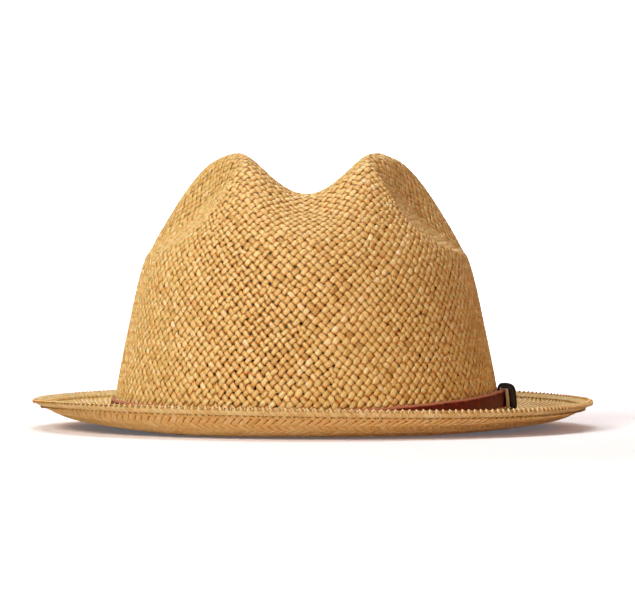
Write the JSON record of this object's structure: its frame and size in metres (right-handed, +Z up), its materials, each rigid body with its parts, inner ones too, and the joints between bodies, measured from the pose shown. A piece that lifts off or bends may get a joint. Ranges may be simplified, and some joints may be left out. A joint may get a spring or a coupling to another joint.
{
  "type": "straw hat",
  "caption": "Woven straw trilby with a teardrop crown, two front pinches, a short upturned brim and a leather strap held by a keeper.",
  "frame": {"origin": "on the ground under the middle of the brim", "axes": "+Z up, +Y towards the back of the hat, +X towards the wearer's left"},
  "size_m": [0.2579, 0.2883, 0.1249],
  "materials": {
    "straw": "woven toquilla straw, pale gold with browner strands, slightly glossy",
    "strap_leather": "dark brown smooth leather, satin",
    "keeper_leather": "black leather, satin",
    "sweatband_cloth": "black cotton twill tape",
    "woven_label": "green-black woven damask with gold threads",
    "tab_plastic": "red-brown clear film",
    "lining_cloth": "beige-grey plain cotton",
    "badge_cloth": "black cloth patch with gold embroidered rims"
  },
  "bodies": {
    "root": {"straw_body": "straw", "hat_band": "strap_leather", "keeper_loop": "keeper_leather", "sweatband": "sweatband_cloth", "sweatband_label": "woven_label", "size_tab": "tab_plastic", "crown_lining": "lining_cloth", "crown_badge": "badge_cloth"}
  },
  "joints": []
}
